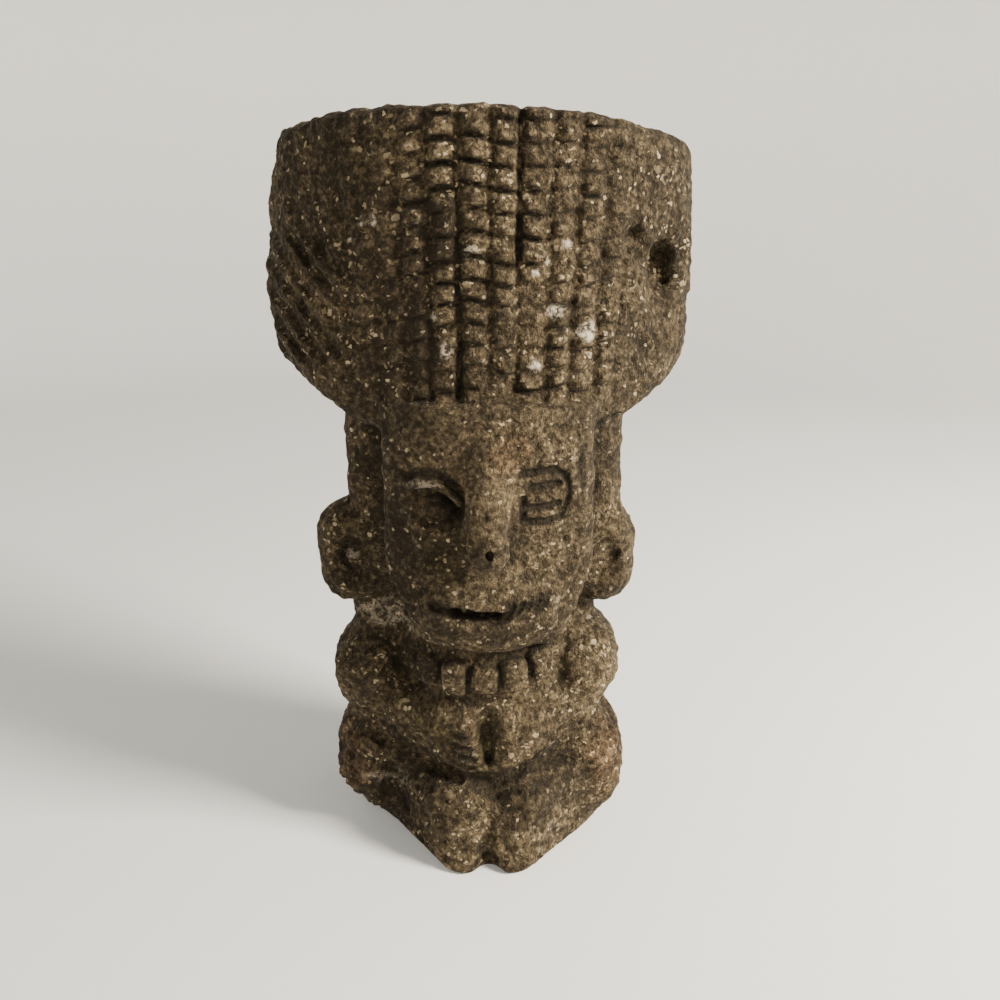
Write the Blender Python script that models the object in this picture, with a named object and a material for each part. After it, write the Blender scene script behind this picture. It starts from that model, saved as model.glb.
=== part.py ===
"""A carved stone maize deity: a kneeling figure under a tall headdress of maize ears, one solid piece of stone.

The figure faces -Y, its right hand is towards -X, and it stands on the flat underside at z = 0.
Every form is a distance function of the point, negative inside the stone. The forms are joined and
carved with small fillets, and a closed skin of triangles is laid on the whole.
"""

import bmesh
import bpy
import numpy as np
from mathutils import Euler

# Driving sizes in metres. The forms are drawn in millimetres on a figure DRAWN_HEIGHT tall, and mm() scales them.
HEIGHT = 0.330
DRAWN_HEIGHT = 330.0

# The skin: spacing of the samples it is found on in drawn millimetres, and the triangles kept
SAMPLE_SPACING = 1.9
TRIANGLES = 9600
MARGIN = 7.3

# The headdress, in drawn millimetres
HEADDRESS_HALF_WIDTH = 95.0
HEADDRESS_FRONT = -41.0
HEADDRESS_FRONT_RADIUS = 112.0
HEADDRESS_TOP_CENTRE_X = -8.0
HEADDRESS_TOP_RADIUS = 400.0
HEADDRESS_UNDERSIDE = 201.0

# The body, in drawn millimetres
BACK = 46.0
TRUNK_X = -4.0
TRUNK_HALF_WIDTH = 57.5
TRUNK_FRONT = -18.0
HAIR_HALF_WIDTH = 62.0
HAIR_FRONT = -22.0

# The maize kernels on its front
EARS_OF_MAIZE = 5
COLUMNS_PER_EAR = 2
KERNEL_COLUMNS = EARS_OF_MAIZE * COLUMNS_PER_EAR
KERNEL_ROWS = 13
KERNEL_ROW_HEIGHT = 8.8
KERNEL_WIDTH_BELOW = 11.0
KERNEL_WIDTH_ABOVE = 14.0
KERNEL_CENTRE_X = 4.0
KERNEL_RELIEF = 2.6
EAR_GROOVE = 2.6
GROOVE_SHARE = 0.22

# The face
FACE_X = 4.0
FACE_HALF_WIDTH = 46.0
FACE_FRONT = -50.0
FACE_FRONT_RADIUS = 75.0
CHIN = 112.0
MOUTH = 125.0
MOUTH_HALF_WIDTH = 25.0
NOSE_TIP = 155.0
NOSE_FRONT = -65.0
EYES = ((-17.5, 173.0), (28.0, 177.0))

# Ear discs, necklace and limbs
EAR_DISCS = ((-58.0, 139.5), (54.0, 139.0))
EAR_DISC_HALF_HEIGHT = 24.5
BEADS = 7
BEAD_WIDTH = 11.5
BEAD_HEIGHT = 15.0
COLLAR_RADIUS = 44.5
COLLAR_MIDDLE = 97.0
COLLAR_THICKNESS = 28.0
SHOULDERS = ((-55.0, 80.0), (49.5, 84.0))
KNEES = ((-55.5, 31.5), (54.0, 30.5))
HAND_HEIGHT = 60.0
FOOT_TIP = -61.0
FOOT_SPREAD = 11.5


def mm(*values):
    """One length, or a point, given in drawn millimetres, in metres on a figure of HEIGHT."""
    scaled = np.array(values, dtype=float) * HEIGHT / DRAWN_HEIGHT
    return float(scaled[0]) if len(values) == 1 else scaled


def smoothstep(t):
    t = np.clip(t, 0.0, 1.0)
    return t * t * (3.0 - 2.0 * t)


def joined(a, b, fillet):
    """The two forms as one, with a fillet where they meet."""
    h = np.clip(0.5 + 0.5 * (b - a) / mm(fillet), 0.0, 1.0)
    return b + (a - b) * h - mm(fillet) * h * (1.0 - h)


def shared(a, b, fillet):
    """What the two forms have in common, its edge rounded."""
    return -joined(-a, -b, fillet)


def carved(a, tool, fillet):
    """The form a with the tool's shape cut away."""
    return shared(a, -tool, fillet)


def placed(p, centre, turn):
    """Points as seen from a form at centre, turned by degrees about X, Y and Z."""
    local = p - mm(*centre)
    if turn == (0, 0, 0):
        return local
    return local @ np.array(Euler(np.radians(turn)).to_matrix())


def ellipsoid(p, centre, radii, turn=(0, 0, 0)):
    q = placed(p, centre, turn) / mm(*radii)
    length = np.linalg.norm(q, axis=1)
    slope = np.linalg.norm(q / mm(*radii), axis=1)
    return length * (length - 1.0) / np.maximum(slope, 1e-9)


def block(p, centre, half, rounding, turn=(0, 0, 0)):
    """A box with its edges rounded."""
    q = np.abs(placed(p, centre, turn)) - mm(*half) + mm(rounding)
    outside = np.linalg.norm(np.maximum(q, 0.0), axis=1)
    return outside + np.minimum(q.max(axis=1), 0.0) - mm(rounding)


def limb(p, start, end, start_radius, end_radius):
    """A tapered rod with round ends."""
    along = mm(*end) - mm(*start)
    t = np.clip((p - mm(*start)) @ along / (along @ along), 0.0, 1.0)
    radius = mm(start_radius) + mm(end_radius - start_radius) * t
    return np.linalg.norm(p - mm(*start) - t[:, None] * along, axis=1) - radius


def chained(p, points, radius):
    """A bent rod through the points."""
    return np.minimum.reduce([limb(p, a, b, radius, radius) for a, b in zip(points, points[1:])])


def top_height(x):
    """The top of the headdress arches from side to side."""
    return HEIGHT - (x - mm(HEADDRESS_TOP_CENTRE_X)) ** 2 / (2 * mm(HEADDRESS_TOP_RADIUS))


def half_width(x, z):
    """Half the headdress's width at a height, its left and right flanks a little different."""
    left = np.interp(z, mm(200, 210, 219, 228, 255, 272, 298, 330), mm(50, 66, 82, 94, 99.5, 98, 92, 85))
    right = np.interp(z, mm(200, 210, 219, 228, 255, 300, 330), mm(56, 76, 89, 95.5, 98, 96.5, 92))
    return np.where(x < 0, left, right) * HEADDRESS_HALF_WIDTH / 95


def headdress(p):
    """A block with a curved front, a flat back, an arched top and a lower edge drawn in to the brow."""
    x, y, z = p.T
    radius = mm(HEADDRESS_FRONT_RADIUS)
    front = np.hypot(x, y - mm(HEADDRESS_FRONT) - radius) - radius
    form = shared(front, y - mm(BACK + 8), 14)
    form = shared(form, (np.abs(x) - half_width(x, z)) * 0.85, 12)
    form = shared(form, z - top_height(x), 6)
    return shared(form, mm(HEADDRESS_UNDERSIDE) - z, 8)


def kernel_width(z):
    return np.interp(z, mm(212, 262, 325), mm(KERNEL_WIDTH_BELOW, KERNEL_WIDTH_BELOW + 0.5, KERNEL_WIDTH_ABOVE))


def row_height(row, column):
    """Height of a line between rows of kernels at a column counted from the left. It arches, and wanders a little."""
    x = mm(KERNEL_CENTRE_X) + (column - KERNEL_COLUMNS / 2) * mm(KERNEL_WIDTH_ABOVE)
    arch = (HEIGHT - top_height(x)) * (1.0 - 0.6 * row / KERNEL_ROWS)
    place = np.floor(column)
    wander = mm(0.6) * np.sin(2.3 * place) + mm(0.5) * np.sin(5.1 * place + 1.0)
    return HEIGHT - mm(3.6) - arch + wander * smoothstep(row) - row * mm(KERNEL_ROW_HEIGHT)


def kernels(p):
    """How far the maize stands proud: kernels like small shingles between grooves, deeper between two ears."""
    x, y, z = p.T
    column = (x - mm(KERNEL_CENTRE_X)) / kernel_width(z) + KERNEL_COLUMNS / 2
    row = (row_height(0, column) - z) / mm(KERNEL_ROW_HEIGHT)
    for _ in range(3):
        row = row + (row_height(row, column) - z) / mm(KERNEL_ROW_HEIGHT)
    across = np.abs(column - np.round(column))
    down = row - np.floor(row)
    sides = smoothstep(across / GROOVE_SHARE)
    lip = smoothstep(down / 0.6) * smoothstep((1.0 - down) / 0.22)
    between_ears = np.round(column) % COLUMNS_PER_EAR < 0.5
    groove = np.where(between_ears, 1.0 - smoothstep(across / GROOVE_SHARE), 0.0)
    relief = mm(KERNEL_RELIEF) * sides * (0.2 + 0.8 * lip) - mm(EAR_GROOVE) * groove
    reach = smoothstep(column / 0.6 + 0.5) * smoothstep((KERNEL_COLUMNS - column) / 0.6 + 0.5)
    reach *= smoothstep(row / 0.4) * smoothstep((KERNEL_ROWS - row) / 0.3) * (y < 0)
    return relief * reach


def side_pleats(p):
    """Slanting pleats on the two flanks of the headdress."""
    x, y, z = p.T
    ridge = np.cos((z + np.abs(x) * 0.95) / mm(12.5) * 2 * np.pi)
    reach = smoothstep((np.abs(x) - mm(64)) / mm(12)) * smoothstep((mm(292) - z) / mm(18))
    reach *= smoothstep((z - mm(218)) / mm(18)) * smoothstep((mm(28) - y) / mm(20))
    return ridge * reach * np.where(x < 0, mm(1.3), mm(0.6))


def flank_hole(p, form):
    """A deep slanting hole in a worn hollow of the flank, on the figure's left."""
    form = carved(form, ellipsoid(p, (89, -12, 263), (17, 14, 25)), 8)
    form = carved(form, limb(p, (70, -17, 277), (78, -9, 259), 4.5, 4.5), 3)
    return carved(form, ellipsoid(p, (75, -4, 268), (6, 10, 8)), 3)


def upright_block(p, x, half, front, low, high, rounding):
    """A rounded block between two heights, from its front to beyond the common flat back, which is dressed last."""
    rear = BACK + 8
    centre = (x, (front + rear) / 2, (low + high) / 2)
    return block(p, centre, (half, (rear - front) / 2, (high - low) / 2), rounding)


def hair(p):
    """Hair falls straight on both sides of the face and down the back of the head."""
    return upright_block(p, 2, HAIR_HALF_WIDTH, HAIR_FRONT, 124, HEADDRESS_UNDERSIDE + 23, 13)


def face_plate(p):
    """The face is a mask with straight sides, drawn in below the cheeks to a broad chin."""
    x, y, z = p.T
    recede = np.interp(z, mm(CHIN - 8, NOSE_TIP), mm(5, 0))
    radius = mm(FACE_FRONT_RADIUS)
    front = np.hypot(x - mm(FACE_X), y - mm(FACE_FRONT) - radius - recede) - radius
    share = FACE_HALF_WIDTH / 46
    half = share * np.interp(z, mm(104, 115, 125, 134, 142), mm(32, 35.5, 40, 44.5, 46))
    form = shared(front, (np.abs(x - mm(FACE_X)) - half) * 0.9, 5)
    form = shared(form, y - mm(10), 5)
    form = shared(form, mm(CHIN - 8) - z, 8)
    return shared(form, z - mm(HEADDRESS_UNDERSIDE + 14), 4)


def face_surface(x):
    """Where the front of the face plate is at a place across it."""
    return FACE_FRONT + FACE_FRONT_RADIUS - np.sqrt(FACE_FRONT_RADIUS**2 - (x - FACE_X) ** 2)


def eyes(p, form):
    """The right eye is a deep socket under a lid. The left one is drawn with grooves, as a closed bow with a bar."""
    (x, z), (open_x, open_z) = EYES
    form = carved(form, ellipsoid(p, (x, FACE_FRONT + 1, z), (12, 9, 12)), 2)
    form = joined(form, ellipsoid(p, (x, FACE_FRONT + 13, z - 3), (8.5, 6.5, 6.5)), 1)
    lid = [(x + across, FACE_FRONT + 4.5, z + 9 - 0.045 * across**2) for across in (-11, -5, 0, 5, 11)]
    form = joined(form, chained(p, lid, 1.8), 1.5)
    bow = [(-9, 9), (5, 10), (10, 5), (10, -5), (5, -11), (-9, -11), (-9, 3), (6, 3), (6, -4), (-8, -4)]
    bow = [(open_x + across, face_surface(open_x + across) - 0.4 - (across < -5), open_z + up) for across, up in bow]
    return carved(form, chained(p, bow, 1.7), 1.2)


def face(p):
    """A straight broad nose, carved eyes and a wide mouth that curves up a little."""
    bridge, tip = (FACE_X, FACE_FRONT + 16, HEADDRESS_UNDERSIDE + 11), (FACE_X, NOSE_FRONT + 10, NOSE_TIP + 6)
    form = joined(face_plate(p), limb(p, bridge, tip, 14, 9), 9)
    form = joined(form, block(p, (FACE_X, NOSE_FRONT + 9, NOSE_TIP - 1), (9, 9, 8), 5), 4)
    form = joined(form, ellipsoid(p, (FACE_X, FACE_FRONT + 6, MOUTH - 3), (MOUTH_HALF_WIDTH + 4, 9, 16)), 8)
    slit = [
        (FACE_X + across, FACE_FRONT - 3 + 0.011 * across**2, MOUTH - 1.5 + 0.007 * across**2)
        for across in np.linspace(-MOUTH_HALF_WIDTH, MOUTH_HALF_WIDTH, 7)
    ]
    return carved(eyes(p, form), chained(p, slit, 2.3), 1.5)


def ear_disc(p, side):
    """A rounded plate over each ear with a round recess. The right one has a boss, the left one a drilled middle."""
    x, z = EAR_DISCS[side > 0]
    form = block(p, (x, -7, z), (17, 17, EAR_DISC_HALF_HEIGHT), 15.5)
    form = carved(form, ellipsoid(p, (x + 2 * side, -26, z), (10, 6, 13)), 3)
    if side < 0:
        return joined(form, ellipsoid(p, (x + 1, -19, z + 1), (5, 5, 5)), 2)
    return carved(form, ellipsoid(p, (x + 5, -21, z + 1), (3.2, 9, 4.5)), 1.5)


def torso(p):
    trunk = upright_block(p, TRUNK_X, TRUNK_HALF_WIDTH, TRUNK_FRONT, -8, 140, 15)
    return joined(trunk, ellipsoid(p, (3, -8, 84), (38, 35, 42)), 8)


def necklace(p, form):
    """Square beads in an arc under the chin, on a collar that fills the room behind them."""
    reach = np.hypot(p[:, 0] - mm(FACE_X - 2), p[:, 1] - mm(1)) - mm(COLLAR_RADIUS)
    collar = shared(reach, np.abs(p[:, 2] - mm(COLLAR_MIDDLE)) - mm(COLLAR_THICKNESS / 2), 4)
    form = joined(form, collar, 5)
    for place in np.linspace(-1, 1, BEADS):
        angle = place * 52.0
        sine, cosine = np.sin(np.radians(angle)), np.cos(np.radians(angle))
        centre = (FACE_X - 2 + 42 * sine, 1 - 43 * cosine, 90 + 6 * place**2 + 3 * place)
        half = (BEAD_WIDTH / 2, 6.0, BEAD_HEIGHT / 2)
        form = joined(form, block(p, centre, half, 3.0, turn=(0, -14 * place, angle)), 1.5)
    return form


def shoulder_and_knee(p, side):
    """The upper arm and the knee bulge at the side, fuller at the front than at the back."""
    lobes = []
    for (x, z), half_height in ((SHOULDERS[side > 0], 21), (KNEES[side > 0], 27.5)):
        lobe = block(p, (x, 0, z), (17, 31, half_height), 16, turn=(0, 0, side * 4))
        lobes.append(shared(lobe, ellipsoid(p, (x - side * 20, -2, z), (39, 36, half_height * 1.5)), 8))
    return np.minimum(*lobes)


def forearm(p, side):
    """A forearm drawn in over the belly, ending in a hand that meets the other in the middle."""
    flattened = p * (1, 1, 0.8) + (0, 0, 0.2 * mm(HAND_HEIGHT))
    elbow, wrist = (side * 48 - 3, -12, HAND_HEIGHT + 7), (side * 20 + 3, -29, HAND_HEIGHT + 1)
    form = limb(flattened, elbow, wrist, 13, 14)
    return joined(form, block(p, (side * 12 + 3, -35, HAND_HEIGHT), (11, 12, 16), 8, turn=(0, 0, side * 24)), 5)


def fingers(p, form):
    """Grooves between the fingers, and the groove where the hands meet."""
    form = carved(form, block(p, (3, -50, HAND_HEIGHT + 1), (1.5, 10, 16), 1.4), 2.5)
    for place in (-9, -2.5, 4):
        z = HAND_HEIGHT + place
        line = [(-4, -48, z - 2), (-11, -47.8, z - 0.5), (-19, -45, z + 2), (-27, -40.3, z + 6)]
        form = carved(form, chained(p, line, 1.7), 1.2)
    line = [(14, -48, HAND_HEIGHT + 12), (13, -48, HAND_HEIGHT - 10)]
    return carved(form, chained(p, line, 1.6), 1.5)


def base_flank(p):
    """How far a point is outside the wedge that the base draws on the ground, narrower on the figure's right."""
    out = np.abs(p[:, 0] - mm(FACE_X - 1))
    spread = np.where(p[:, 0] < mm(FACE_X - 1), 0.72, 0.85)
    return out - mm(18) - (p[:, 1] - mm(FOOT_TIP)) * spread


def legs(p):
    """Shins drawn in from the knees to a blunt wedge, with two feet side by side at its point."""
    x, y, z = p.T
    front = mm(FOOT_TIP + 2) + z * 0.2 - y
    form = shared(base_flank(p) * 0.76, front, 9)
    form = shared(form, np.abs(x - mm(FACE_X - 1)) - mm(56), 10)
    form = shared(form, (z - mm(40) - (y + mm(30)) * 0.4) * 0.93, 10)
    form = shared(form, y - mm(20), 10)
    for side in (-1, 1):
        foot = (FACE_X + side * FOOT_SPREAD, FOOT_TIP + 10, 3)
        shin = (FACE_X + side * (FOOT_SPREAD + 5), FOOT_TIP + 21, 30)
        form = joined(form, limb(p, foot, shin, 10, 12), 6)
    form = carved(form, limb(p, (FACE_X, FOOT_TIP, -4), (FACE_X, FOOT_TIP + 1, 12), 7, 2), 4)
    return carved(form, block(p, (FACE_X, FOOT_TIP, 8), (1, 14, 30), 1), 2.5)


def figure(p):
    """Distance from each point to the surface of the stone."""
    form = joined(torso(p), hair(p), 8)
    form = joined(form, legs(p), 5)
    for side in (-1, 1):
        form = joined(form, ear_disc(p, side), 3)
        form = joined(form, shoulder_and_knee(p, side), 5)
    for side in (-1, 1):
        form = joined(form, forearm(p, side), 4)
    form = shared(form, (base_flank(p) - p[:, 2] * 1.1) * 0.6, 5)
    form = carved(form, ellipsoid(p, (-30, -42, HAND_HEIGHT - 22), (20, 13, 6), turn=(0, 22, 0)), 6)
    form = joined(fingers(p, necklace(p, form)), face(p), 1.5)
    form = joined(form, headdress(p) - kernels(p) - side_pleats(p), 3)
    form = shared(flank_hole(p, form), p[:, 1] - mm(BACK), 9)
    return shared(form, -p[:, 2], 1.5)


def sampled():
    """The figure's distance at every node of a grid. Blocks of nodes far from the surface keep one value."""
    step, group = mm(SAMPLE_SPACING), 4
    half = max(HEADDRESS_HALF_WIDTH, HAIR_HALF_WIDTH, *(abs(x) + 17 for x, _ in (*EAR_DISCS, *SHOULDERS, *KNEES)))
    low = mm(-half * 1.05 - MARGIN, min(NOSE_FRONT, FOOT_TIP, HEADDRESS_FRONT) - MARGIN, -MARGIN)
    high = mm(half * 1.05 + MARGIN, BACK + MARGIN, DRAWN_HEIGHT + MARGIN)
    groups = np.ceil((high - low) / (step * group)).astype(int)
    nodes = [low[axis] + step * np.arange(groups[axis] * group) for axis in range(3)]
    middles = [axis_nodes.reshape(-1, group).mean(axis=1) for axis_nodes in nodes]
    grid = np.stack(np.meshgrid(*middles, indexing="ij"), axis=-1)
    values = figure(grid.reshape(-1, 3)).reshape(groups)
    near = np.abs(values) < step * group * 1.2 + mm(3)
    for axis in range(3):
        values, near = values.repeat(group, axis), near.repeat(group, axis)
    i, j, k = np.nonzero(near)
    values[i, j, k] = figure(np.stack([nodes[0][i], nodes[1][j], nodes[2][k]], axis=1))
    return values, nodes


def closed_skin(values, nodes):
    """Triangles where the distance is zero, found in six tetrahedra round a diagonal of each cell of the grid.

    No node is let lie on the surface itself, so no triangle is a sliver.
    """
    least = mm(SAMPLE_SPACING) * 0.08
    values = np.where(values < 0, np.minimum(values, -least), np.maximum(values, least))
    shape, flat = values.shape, values.ravel()
    corners = np.array([(a, b, c) for a in (0, 1) for b in (0, 1) for c in (0, 1)])
    within = [tuple(slice(start, start + size - 1) for start, size in zip(corner, shape)) for corner in corners]
    inside = sum((values[part] < 0).astype(int) for part in within)
    cells = np.argwhere((inside > 0) & (inside < 8))
    ids = np.ravel_multi_index(np.moveaxis(cells[:, None] + corners, -1, 0), shape)
    paths = ((4, 6), (4, 5), (2, 6), (2, 3), (1, 5), (1, 3))
    tetrahedra = np.concatenate([ids[:, (0, a, b, 7)] for a, b in paths])
    tetrahedra = np.take_along_axis(tetrahedra, np.argsort(flat[tetrahedra], axis=1), axis=1)
    count = (flat[tetrahedra] < 0).sum(axis=1)
    patterns = {
        1: [((0, 1), (0, 2), (0, 3))],
        2: [((0, 2), (0, 3), (1, 3)), ((0, 2), (1, 3), (1, 2))],
        3: [((0, 3), (1, 3), (2, 3))],
    }
    faces = [
        np.stack([tetrahedra[count == number][:, edge] for edge in triangle], axis=1)
        for number, triangles in patterns.items()
        for triangle in triangles
    ]
    ends = np.sort(np.concatenate(faces), axis=2)
    keys, triangles = np.unique(ends[..., 0] * flat.size + ends[..., 1], return_inverse=True)
    ends = np.stack([keys // flat.size, keys % flat.size])
    index = np.unravel_index(ends, shape)
    places = np.stack([nodes[axis][index[axis]] for axis in range(3)], axis=-1)
    share = flat[ends[0]] / (flat[ends[0]] - flat[ends[1]])
    return places[0] + (places[1] - places[0]) * share[:, None], triangles.reshape(-1, 3)


def solid_mesh(points, triangles):
    """The skin as a mesh with its faces outward, thinned where it is smooth and flat on the ground."""
    data = bpy.data.meshes.new("stone_figure")
    data.from_pydata(points.tolist(), [], triangles.tolist())
    dense = bpy.data.objects.new("dense skin", data)
    bpy.context.scene.collection.objects.link(dense)
    thinning = dense.modifiers.new("thinning", "DECIMATE")
    thinning.ratio = TRIANGLES / len(triangles)
    thinned = dense.evaluated_get(bpy.context.evaluated_depsgraph_get())
    mesh = bmesh.new()
    mesh.from_mesh(thinned.data)
    bpy.data.objects.remove(dense, do_unlink=True)
    for vertex in mesh.verts:
        if vertex.co.z < mm(0.05):
            vertex.co.z = 0.0
    bmesh.ops.recalc_face_normals(mesh, faces=mesh.faces[:])
    if mesh.calc_volume(signed=True) < 0:
        bmesh.ops.reverse_faces(mesh, faces=mesh.faces[:])
    mesh.to_mesh(data)
    mesh.free()
    data.shade_smooth()
    data.set_sharp_from_angle(angle=np.radians(38))
    return data


def stone():
    material = bpy.data.materials.new("weathered stone")
    material.use_nodes = True
    shader = material.node_tree.nodes["Principled BSDF"]
    shader.inputs["Base Color"].default_value = (0.15, 0.115, 0.075, 1)
    shader.inputs["Roughness"].default_value = 0.93
    material.diffuse_color = (0.15, 0.115, 0.075, 1)
    return material


def main():
    for obj in list(bpy.data.objects):
        bpy.data.objects.remove(obj, do_unlink=True)
    data = solid_mesh(*closed_skin(*sampled()))
    data.materials.append(stone())
    stone_figure = bpy.data.objects.new("stone_figure", data)
    bpy.context.scene.collection.objects.link(stone_figure)


if __name__ == "__main__":
    main()
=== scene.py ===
"""Looks of the carved stone maize deity: one weathered skin of stone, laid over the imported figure's form.

The figure faces -Y and stands at z = 0. Lengths are drawn in millimetres on a figure DRAWN_HEIGHT tall, and
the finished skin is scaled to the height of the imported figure. Each form is a distance function, negative
inside.
"""

import functools
import itertools
import math
from concurrent.futures import ThreadPoolExecutor

import bpy
import numpy as np
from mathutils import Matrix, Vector


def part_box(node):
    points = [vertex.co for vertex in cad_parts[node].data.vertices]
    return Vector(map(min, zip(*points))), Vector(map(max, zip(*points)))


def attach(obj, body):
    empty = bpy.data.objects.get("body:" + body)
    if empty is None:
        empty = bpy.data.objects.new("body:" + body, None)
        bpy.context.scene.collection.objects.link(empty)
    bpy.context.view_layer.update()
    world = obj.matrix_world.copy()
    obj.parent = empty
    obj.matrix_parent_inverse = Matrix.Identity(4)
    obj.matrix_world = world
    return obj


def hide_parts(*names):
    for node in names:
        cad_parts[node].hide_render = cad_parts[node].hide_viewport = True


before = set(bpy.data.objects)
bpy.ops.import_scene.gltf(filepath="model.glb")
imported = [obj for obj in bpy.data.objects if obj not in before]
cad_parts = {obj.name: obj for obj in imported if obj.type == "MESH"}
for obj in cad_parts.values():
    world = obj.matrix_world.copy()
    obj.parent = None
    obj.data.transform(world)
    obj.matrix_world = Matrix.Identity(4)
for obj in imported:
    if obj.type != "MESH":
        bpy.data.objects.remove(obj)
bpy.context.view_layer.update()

# The frame: one drawn millimetre in metres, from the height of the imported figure
DRAWN_HEIGHT = 330.0
SCALE = (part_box("stone_figure")[1].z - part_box("stone_figure")[0].z) / DRAWN_HEIGHT

# The skin: spacing of the samples it is found on, samples along a block of them, the room left round the
# figure, and the triangles kept
SAMPLE_SPACING = 1.0
BLOCK = 4
MARGIN = 6.0
TRIANGLES = 192000

# The headdress
HEADDRESS_HALF_WIDTH = 95.0
HEADDRESS_FRONT = -41.0
HEADDRESS_FRONT_RADIUS = 112.0
HEADDRESS_TOP_CENTRE_X = -8.0
HEADDRESS_TOP_RADIUS = 400.0
HEADDRESS_UNDERSIDE = 201.0

# The body
BACK = 46.0
TRUNK_X = -4.0
TRUNK_HALF_WIDTH = 57.5
TRUNK_FRONT = -18.0
HAIR_HALF_WIDTH = 62.0
HAIR_FRONT = -22.0

# The maize: the grooves between its columns of kernels, every second one between two ears
GROOVES = (-53.5, -42.0, -30.5, -19.5, -7.5, 5.0, 16.0, 28.5, 38.5, 49.5, 60.0)
COLUMNS = len(GROOVES) - 1
FAN_CENTRE_X = -3.0
KERNEL_ROW_HEIGHT = 8.8
KERNEL_RELIEF = 3.6
ROW_GAP_DEPTH = 1.7
GROOVE_DEPTH = 1.2
EAR_GROOVE_DEPTH = 1.9
MAIZE_FOOT = 211.5

# The headdress's plain parts
CHISEL_MARK_DEPTH = 0.9
PLEAT_SPACING = 12.0
PLEAT_SLANT = 1.05
PLEAT_FOOT = 218.0
PLEAT_TOP = 292.0
FLANK_PITS = (((83, -27, 300), 2.6), ((91, -12, 291), 2.2), ((70, -31, 288), 1.8), ((88, -10, 308), 2.0))

# The face: its eyes at places across and up, and the strokes drawn round the middle of the left one
FACE_X = 4.0
FACE_HALF_WIDTH = 46.0
FACE_FRONT = -50.0
FACE_FRONT_RADIUS = 75.0
CHIN = 112.0
MOUTH = 125.0
MOUTH_HALF_WIDTH = 25.0
NOSE_TIP = 155.0
NOSE_FRONT = -65.0
EYES = ((-17.5, 173.0), (28.0, 177.0))
LEFT_EYE_STROKES = (
    ((-10, 9.6), (-2, 10.6), (4, 11), (8.5, 7.5), (10.5, 2), (9, -5), (6, -10), (0, -11.5), (-9.5, -11)),
    ((-6.5, 3.6), (0, 4.6), (6, 4.6)),
    ((-8.5, -5.2), (0, -4.8), (6, -4)),
    ((-9.5, -1), (-9.5, -11)),
)
TOOTH_NOTCHES = (9.5, 13.5, 17.5, 21.5, 25)

# Ear discs, necklace and limbs
EAR_DISCS = ((-58.0, 139.5), (54.0, 139.0))
EAR_DISC_HALF_HEIGHT = 24.5
BEADS = 7
BEAD_WIDTH = 11.5
BEAD_HEIGHT = 15.0
BEAD_ARC = 52.0
COLLAR_RADIUS = 41.0
COLLAR_MIDDLE = 97.0
COLLAR_THICKNESS = 28.0
SHOULDERS = ((-55.0, 80.0), (49.5, 84.0))
KNEES = ((-55.5, 31.5), (54.0, 30.5))
HAND_HEIGHT = 60.0
FINGER_GROOVES = (-11, -6.5, -2, 3)
FOOT_TIP = -61.0
FOOT_SPREAD = 11.5

# The wear
PIT_SPACING = 9.0
CHIP_SPACING = 3.8


def smoothstep(t):
    t = np.clip(t, 0.0, 1.0)
    return t * t * (3.0 - 2.0 * t)


def joined(a, b, fillet):
    """The two forms as one, with a fillet where they meet."""
    h = np.clip(0.5 + 0.5 * (b - a) / fillet, 0.0, 1.0)
    return b + (a - b) * h - fillet * h * (1.0 - h)


def shared(a, b, fillet):
    """What the two forms have in common, its edge rounded."""
    return -joined(-a, -b, fillet)


def carved(a, tool, fillet):
    """The form a with the tool's shape cut away."""
    return shared(a, -tool, fillet)


def placed(p, centre, turn):
    """Points as seen from a form at centre, turned by degrees about X, Y and Z."""
    local = p - np.array(centre, np.float32)
    for axis, degrees in enumerate(turn):
        if degrees:
            a, b = (axis + 1) % 3, (axis + 2) % 3
            cosine, sine = math.cos(math.radians(degrees)), math.sin(math.radians(degrees))
            matrix = np.eye(3, dtype=np.float32)
            matrix[a, a] = matrix[b, b] = cosine
            matrix[a, b], matrix[b, a] = sine, -sine
            local = local @ matrix.T
    return local


def ellipsoid(p, centre, radii, turn=(0, 0, 0)):
    radii = np.array(radii, np.float32)
    q = placed(p, centre, turn) / radii
    length = np.linalg.norm(q, axis=1)
    slope = np.linalg.norm(q / radii, axis=1)
    return length * (length - 1.0) / np.maximum(slope, 1e-6)


def block(p, centre, half, rounding, turn=(0, 0, 0)):
    """A box with its edges rounded."""
    q = np.abs(placed(p, centre, turn)) - np.array(half, np.float32) + rounding
    outside = np.linalg.norm(np.maximum(q, 0.0), axis=1)
    return outside + np.minimum(q.max(axis=1), 0.0) - rounding


def limb(p, start, end, start_radius, end_radius):
    """A tapered rod with round ends."""
    start, end = np.array(start, np.float32), np.array(end, np.float32)
    along = end - start
    t = np.clip((p - start) @ along / (along @ along), 0.0, 1.0)
    radius = start_radius + (end_radius - start_radius) * t
    return np.linalg.norm(p - start - t[:, None] * along, axis=1) - radius


def chained(p, points, radius):
    """A bent rod through the points."""
    return np.minimum.reduce([limb(p, a, b, radius, radius) for a, b in zip(points, points[1:])])


def near_only(form, p, centre, reach, change):
    """The form with a change made to it only within reach of a place, which saves work."""
    near = (np.abs(p - np.array(centre, np.float32)) < np.array(reach, np.float32)).all(axis=1)
    if near.any():
        form = form.copy()
        form[near] = change(form[near], p[near])
    return form


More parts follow.
